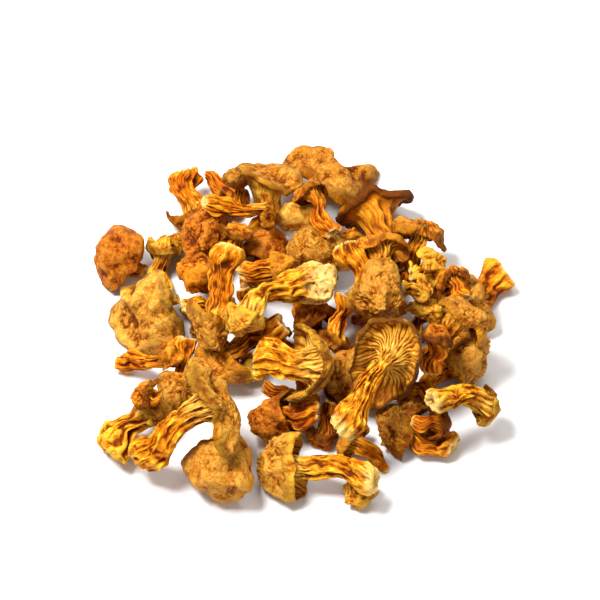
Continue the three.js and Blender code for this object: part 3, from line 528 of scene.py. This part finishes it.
# How many cells each pattern of the flesh has in a metre.
BLOTS = 70
PATCHES = 130
CREPE = 430
MOTTLE = 520
SPECKLES = 850
GRAIN = 1900
# The same in one unit of the space in which the strands are drawn.
SEAMS = 1.1
STRANDS = 2.0
# How much each mark brightens the flesh, or darkens it, and how much it raises it. Relief and hollow paint
# a highlight on ridges and shade in creases and hollows; seams and crepe paint shade in their thin grooves.
TONE_BASE = -0.89
TONE = {
    "patches": 0.52, "mottle": 0.4, "relief": 0.36, "hollow": -0.15, "shade": 0.3, "strands": 1.15,
    "seams": 0.32, "cap": 0.62, "crepe": 0.42,
}
RAISED = {"grain": 0.35, "mottle": 0.5, "strands": 1.0, "crepe": 0.9, "seams": 0.7}
# How strongly the browned margin, the painted shade in deep creases, the speckles and the torn foot are
# coloured.
BROWNED = 0.92
CREASE_SHADE = 0.72
SPECKLED = 0.5
TORN = 0.85
ROUGHNESS = 0.45
ROUGHNESS_MOTTLE = 0.25
SPECULAR = 0.05
BUMP = 0.6
BUMP_HEIGHT = 0.35 * MM


def link(tree, source, target):
    tree.links.new(source, target)


def node(tree, kind, **values):
    """A new node of one kind, with its own settings."""
    made = tree.nodes.new(kind)
    for key, value in values.items():
        setattr(made, key, value)
    return made


def feed(tree, socket, value):
    """Sets a socket, or links it where the value is another node's socket."""
    if isinstance(value, bpy.types.NodeSocket):
        link(tree, value, socket)
    else:
        socket.default_value = value


def maths(tree, operation, a, b=0.0, clamp=False):
    made = node(tree, "ShaderNodeMath", operation=operation, use_clamp=clamp)
    feed(tree, made.inputs[0], a)
    feed(tree, made.inputs[1], b)
    return made.outputs[0]


def spread(tree, value, low, high):
    """0 below low, 1 above high, and smooth between."""
    made = node(tree, "ShaderNodeMapRange", interpolation_type="SMOOTHSTEP")
    feed(tree, made.inputs["Value"], value)
    made.inputs["From Min"].default_value = low
    made.inputs["From Max"].default_value = high
    return made.outputs["Result"]


def mixed(tree, share, a, b):
    """The colour a where the share is 0, and b where it is 1."""
    made = node(tree, "ShaderNodeMix", data_type="RGBA")
    feed(tree, made.inputs[0], share)
    link(tree, a, made.inputs[6])
    link(tree, b, made.inputs[7])
    return made.outputs[2]


def cloud(tree, vector, scale, detail=3.0, distortion=0.0):
    """Soft noise from 0 to 1."""
    made = node(tree, "ShaderNodeTexNoise")
    link(tree, vector, made.inputs["Vector"])
    made.inputs["Scale"].default_value = scale
    made.inputs["Detail"].default_value = detail
    made.inputs["Distortion"].default_value = distortion
    return made.outputs["Fac"]


def attribute(tree, name, output="Fac"):
    """What the mesh says of a point, under a name."""
    return node(tree, "ShaderNodeAttribute", attribute_name=name).outputs[output]


def toned(tree, tone, deep, middling, bright):
    """From deep at tone 0 through middling at 0.5 to bright at 1."""
    body = mixed(tree, spread(tree, tone, 0.02, 0.48), deep, middling)
    return mixed(tree, spread(tree, tone, 0.52, 0.98), body, bright)


def summed(tree, base, terms):
    """A base plus each value times its weight."""
    total = base
    for value, weight in terms:
        made = maths(tree, "MULTIPLY_ADD", value, weight)
        feed(tree, made.node.inputs[2], total)
        total = made
    return total


def weighed(tree, base, marks, weights):
    """A base plus each of the marks that has a weight, times that weight."""
    return summed(tree, base, [(marks[name], weight) for name, weight in weights.items()])


def line_gap(tree, pattern):
    """How far a pattern is from its middle: 0 along thin winding lines."""
    return maths(tree, "ABSOLUTE", maths(tree, "SUBTRACT", pattern, 0.5))


def marks_of(tree):
    """All that marks the flesh at a point: what its mesh says of it, and the patterns drawn on it."""
    names = ("relief", "hollow", "shade", "browned", "cap", "skin", "gill", "comb", "edge", "foot")
    marks = {name: attribute(tree, name) for name in names}
    stalk = maths(tree, "SUBTRACT", 1.0, marks["cap"])
    place = node(tree, "ShaderNodeTexCoord").outputs["Object"]
    fibre = attribute(tree, "fibre", "Vector")
    marks["patches"] = cloud(tree, place, PATCHES, 4, 0.8)
    marks["blots"] = cloud(tree, place, BLOTS, 5, 1.2)
    marks["mottle"] = cloud(tree, place, MOTTLE, 4)
    marks["grain"] = cloud(tree, place, GRAIN)
    marks["speckles"] = cloud(tree, place, SPECKLES, 2)
    marks["strands"] = maths(tree, "MULTIPLY", cloud(tree, fibre, STRANDS, 4, 0.3), stalk)
    # Thin seams between the fibres, and close creases in the cap's skin: 0 in them and 1 between. Both are
    # sunk in the bump and darkened in the colour, as painted shade in thin grooves.
    seams = spread(tree, line_gap(tree, cloud(tree, fibre, SEAMS, 3, 0.3)), 0.0, 0.045)
    marks["seams"] = maths(tree, "MULTIPLY", seams, stalk)
    crepe = spread(tree, line_gap(tree, cloud(tree, place, CREPE, 5, 0.6)), 0.0, 0.07)
    marks["crepe"] = maths(tree, "MULTIPLY", crepe, marks["cap"])
    return marks


def flesh_group():
    """The shader group of dried mushroom flesh: its colour, roughness and fine height."""
    tree = bpy.data.node_groups.new("Dried flesh", "ShaderNodeTree")
    for name in COLOURS:
        tree.interface.new_socket(name, in_out="INPUT", socket_type="NodeSocketColor")
    tree.interface.new_socket("Color", in_out="OUTPUT", socket_type="NodeSocketColor")
    for name in ("Roughness", "Height"):
        tree.interface.new_socket(name, in_out="OUTPUT", socket_type="NodeSocketFloat")
    given = node(tree, "NodeGroupInput").outputs
    result = node(tree, "NodeGroupOutput").inputs
    marks = marks_of(tree)

    # How bright the colour is: a painted highlight on ridges and painted shade in creases and hollows,
    # and the flesh's own patches and strands.
    tone = weighed(tree, TONE_BASE, marks, TONE)
    flesh = toned(tree, tone, given["Flesh deep"], given["Flesh"], given["Flesh bright"])
    skin = toned(tree, tone, given["Skin deep"], given["Skin"], given["Skin bright"])
    # The gills' crests are bright, a painted highlight, and the grooves between them deep, a painted shade.
    combed = summed(tree, -0.1, [(marks["comb"], 0.75), (tone, 0.55), (marks["browned"], -0.12)])
    gills = toned(tree, combed, given["Gill deep"], given["Gill"], given["Gill bright"])
    body = mixed(tree, marks["skin"], mixed(tree, marks["gill"], flesh, gills), skin)
    # The cap has browned from its margin inwards, in blotches.
    reached = summed(tree, 0.0, [(marks["edge"], 1.3), (marks["cap"], 0.2)])
    uneven = summed(tree, 0.2, [(spread(tree, marks["blots"], 0.25, 0.55), 1.0)])
    brown = maths(tree, "MULTIPLY", maths(tree, "MULTIPLY", reached, marks["browned"]), uneven, clamp=True)
    body = mixed(tree, maths(tree, "MULTIPLY", brown, BROWNED), body, given["Browning and shade"])
    # Painted shade: deep creases, and less so broad hollows, are darkened towards the browning colour,
    # less on the gills.
    depth = summed(tree, 0.0, [(marks["hollow"], 0.25), (marks["relief"], -0.75), (marks["gill"], -0.3)])
    crease = spread(tree, depth, 0.3, 0.95)
    body = mixed(tree, maths(tree, "MULTIPLY", crease, CREASE_SHADE), body, given["Browning and shade"])
    # Fine dark speckles.
    dots = spread(tree, marks["speckles"], 0.63, 0.71)
    body = mixed(tree, maths(tree, "MULTIPLY", dots, SPECKLED), body, given["Browning and shade"])
    # The torn end of the stem is pale.
    torn = maths(tree, "MULTIPLY", marks["foot"], spread(tree, marks["mottle"], 0.32, 0.52))
    body = mixed(tree, maths(tree, "MULTIPLY", torn, TORN), body, given["Cut"])
    link(tree, body, result["Color"])
    link(tree, summed(tree, ROUGHNESS, [(marks["mottle"], ROUGHNESS_MOTTLE)]), result["Roughness"])
    link(tree, weighed(tree, 0.0, marks, RAISED), result["Height"])
    return tree


def finish_of(slot, settings):
    """The finish of one material slot, made once."""
    name = "dried_" + slot
    if name in bpy.data.materials:
        return bpy.data.materials[name]
    material = bpy.data.materials.new(name)
    material.use_nodes = True
    tree = material.node_tree
    shader = next(n for n in tree.nodes if n.type == "BSDF_PRINCIPLED")
    group = bpy.data.node_groups.get("Dried flesh") or flesh_group()
    flesh = node(tree, "ShaderNodeGroup", node_tree=group)
    tint = TINTS[slot]
    colours = (*tint["flesh"], *tint["gill"], *tint["skin"], settings.browning_and_shade, settings.torn)
    for socket, colour in zip(COLOURS, colours):
        flesh.inputs[socket].default_value = (*colour, 1.0)
    bump = node(tree, "ShaderNodeBump")
    bump.inputs["Strength"].default_value = BUMP
    bump.inputs["Distance"].default_value = BUMP_HEIGHT
    link(tree, flesh.outputs["Height"], bump.inputs["Height"])
    link(tree, bump.outputs["Normal"], shader.inputs["Normal"])
    link(tree, flesh.outputs["Color"], shader.inputs["Base Color"])
    link(tree, flesh.outputs["Roughness"], shader.inputs["Roughness"])
    shader.inputs["Specular IOR Level"].default_value = SPECULAR
    return material


# ---- the add-on --------------------------------------------------------------------------------------------


class DriedSkin(bpy.types.PropertyGroup):
    """How fine the mushrooms are drawn, how deeply they have dried and how they have browned."""

    wrinkling: bpy.props.FloatProperty(
        name="Wrinkling", description="Depth of folds, fibres and wrinkles, as a share of their own",
        default=1.0, min=0.0, max=2.0, subtype="FACTOR",
    )
    gill_depth: bpy.props.FloatProperty(
        name="Gill depth", description="Depth of the gills, as a share of their own",
        default=1.0, min=0.0, max=2.0, subtype="FACTOR",
    )
    fine: bpy.props.FloatProperty(
        name="Fineness", description="Size of the skin's faces, in millimetres",
        default=0.68, min=0.3, max=2.0,
    )
    fine_gilled: bpy.props.FloatProperty(
        name="Fineness of gills", description="Size of the faces where the gills show, in millimetres",
        default=0.60, min=0.25, max=2.0,
    )
    # The browning colour: real browning of margins and speckles, and painted shade in deep creases.
    browning_and_shade: bpy.props.FloatVectorProperty(
        name="Browning", description="Colour of browned margins, deep creases and speckles",
        default=(0.085, 0.017, 0.0015), subtype="COLOR", size=3,
    )
    torn: bpy.props.FloatVectorProperty(
        name="Torn ends", description="Colour of the flesh where a stem was cut or torn",
        default=(0.79, 0.56, 0.18), subtype="COLOR", size=3,
    )


class StudioStage(bpy.types.PropertyGroup):
    """The floor, the light and the camera."""

    sight: bpy.props.FloatProperty(
        name="Sight", description="How steeply the camera looks down",
        default=math.radians(58), subtype="ANGLE",
    )
    distance: bpy.props.FloatProperty(
        name="Distance", description="From the camera to the heap", default=3.0, unit="LENGTH",
    )
    width: bpy.props.FloatProperty(
        name="Width", description="Width of the view at the heap", default=0.24, unit="LENGTH",
    )
    floor: bpy.props.FloatVectorProperty(
        name="Floor", description="Colour of the floor", default=(0.82, 0.82, 0.82), subtype="COLOR", size=3,
    )


def dress_all(kind, settings):
    """Dresses every mushroom of one kind."""
    for name, gills, shade, browned in HEAP[kind]:
        dress(name, kind, gills, shade, browned, settings)


class CHANTERELLE_OT_smooth(bpy.types.Operator):
    """Dress the mushrooms whose caps dried smooth"""

    bl_idname = "chanterelle.smooth"
    bl_label = "Smooth caps"

    def execute(self, context):
        dress_all("smooth", context.scene.chanterelle_skin)
        return {"FINISHED"}


class CHANTERELLE_OT_brain(bpy.types.Operator):
    """Dress the mushrooms whose caps dried into close wrinkles"""

    bl_idname = "chanterelle.brain"
    bl_label = "Wrinkled caps"

    def execute(self, context):
        dress_all("brain", context.scene.chanterelle_skin)
        return {"FINISHED"}


class CHANTERELLE_OT_gilled(bpy.types.Operator):
    """Dress the mushrooms that show their gills"""

    bl_idname = "chanterelle.gilled"
    bl_label = "Gilled caps"

    def execute(self, context):
        dress_all("gilled", context.scene.chanterelle_skin)
        return {"FINISHED"}


class CHANTERELLE_OT_stems(bpy.types.Operator):
    """Dress the mushrooms that are mostly stem"""

    bl_idname = "chanterelle.stems"
    bl_label = "Stems"

    def execute(self, context):
        dress_all("stem", context.scene.chanterelle_skin)
        return {"FINISHED"}


class CHANTERELLE_OT_crumples(bpy.types.Operator):
    """Dress the small crumpled mushrooms"""

    bl_idname = "chanterelle.crumples"
    bl_label = "Crumpled mushrooms"

    def execute(self, context):
        dress_all("crumple", context.scene.chanterelle_skin)
        return {"FINISHED"}


# How far the middle of the view lies from the heap's own middle, across and up the view.
AIM_ACROSS = -0.0020
AIM_UP = 0.0150
SENSOR = 36.0  # the width of the camera's film, mm
CAMERA_SEES = 20  # how far, in metres
FLOOR_SIZE = 6.0
FLOOR_ROUGHNESS = 0.9
FLOOR_SPECULAR = 0.1
SKY = 0.2  # the strength of the light from all round
LIT = Vector((0, 0, 0.02))  # what the lamps are turned to
# The lamps: name, place, size and power.
LAMPS = (
    ("key", (-0.45, 0.05, 1.1), 0.4, 27),
    ("front", (0.6, -0.8, 0.9), 1.0, 4),
    ("back", (0.2, 0.7, 1.1), 0.8, 9),
)


class CHANTERELLE_OT_stage(bpy.types.Operator):
    """Add the floor, the soft studio light and the camera"""

    bl_idname = "chanterelle.stage"
    bl_label = "Studio"

    def execute(self, context):
        stage = context.scene.chanterelle_stage
        bpy.ops.object.select_all(action="DESELECT")
        bpy.ops.mesh.primitive_plane_add(size=FLOOR_SIZE, location=(0, 0, 0))
        floor = context.active_object
        floor.name = "studio_floor"
        paint = bpy.data.materials.new("studio_floor")
        paint.use_nodes = True
        shader = next(n for n in paint.node_tree.nodes if n.type == "BSDF_PRINCIPLED")
        shader.inputs["Base Color"].default_value = (*stage.floor, 1.0)
        shader.inputs["Roughness"].default_value = FLOOR_ROUGHNESS
        shader.inputs["Specular IOR Level"].default_value = FLOOR_SPECULAR
        floor.data.materials.append(paint)

        for name, place, size, power in LAMPS:
            bpy.ops.object.light_add(type="AREA", location=place)
            lamp = context.active_object
            lamp.name = "light_" + name
            lamp.data.size = size
            lamp.data.energy = power
            lamp.rotation_euler = (LIT - Vector(place)).to_track_quat("-Z", "Y").to_euler()

        world = bpy.data.worlds.new("studio")
        world.use_nodes = True
        sky = world.node_tree.nodes["Background"]
        sky.inputs["Color"].default_value = (1.0, 1.0, 1.0, 1.0)
        sky.inputs["Strength"].default_value = SKY
        context.scene.world = world
        context.scene.view_settings.view_transform = "Standard"

        back = Vector((0, -math.cos(stage.sight), math.sin(stage.sight)))
        up = Vector((0, math.sin(stage.sight), math.cos(stage.sight)))
        aim = Vector((AIM_ACROSS, 0, 0)) + AIM_UP * up
        bpy.ops.object.camera_add(location=aim + stage.distance * back)
        camera = context.active_object
        camera.name = "studio_camera"
        camera.rotation_euler = (-back).to_track_quat("-Z", "Y").to_euler()
        camera.data.sensor_width = SENSOR
        camera.data.lens = SENSOR * stage.distance / stage.width
        camera.data.clip_end = CAMERA_SEES
        context.scene.camera = camera
        return {"FINISHED"}


class CHANTERELLE_PT_panel(bpy.types.Panel):
    """The heap's own tab in the sidebar"""

    bl_idname = "CHANTERELLE_PT_panel"
    bl_label = "Chanterelles"
    bl_space_type = "VIEW_3D"
    bl_region_type = "UI"
    bl_category = "Chanterelles"

    def draw(self, context):
        layout = self.layout
        skin = context.scene.chanterelle_skin
        for name in ("wrinkling", "gill_depth", "fine", "fine_gilled", "browning_and_shade", "torn"):
            layout.prop(skin, name)
        for operator in OPERATORS:
            layout.operator(operator.bl_idname)
        stage = context.scene.chanterelle_stage
        for name in ("sight", "distance", "width", "floor"):
            layout.prop(stage, name)


OPERATORS = (
    CHANTERELLE_OT_stage,
    CHANTERELLE_OT_smooth,
    CHANTERELLE_OT_brain,
    CHANTERELLE_OT_gilled,
    CHANTERELLE_OT_stems,
    CHANTERELLE_OT_crumples,
)
CLASSES = (DriedSkin, StudioStage, *OPERATORS, CHANTERELLE_PT_panel)


def register():
    for cls in CLASSES:
        bpy.utils.register_class(cls)
    bpy.types.Scene.chanterelle_skin = bpy.props.PointerProperty(type=DriedSkin)
    bpy.types.Scene.chanterelle_stage = bpy.props.PointerProperty(type=StudioStage)


def unregister():
    del bpy.types.Scene.chanterelle_stage
    del bpy.types.Scene.chanterelle_skin
    for cls in reversed(CLASSES):
        bpy.utils.unregister_class(cls)


def main():
    register()
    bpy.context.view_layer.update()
    bpy.ops.chanterelle.stage()
    bpy.ops.chanterelle.smooth()
    bpy.ops.chanterelle.brain()
    bpy.ops.chanterelle.gilled()
    bpy.ops.chanterelle.stems()
    bpy.ops.chanterelle.crumples()


if __name__ == "__main__":
    main()
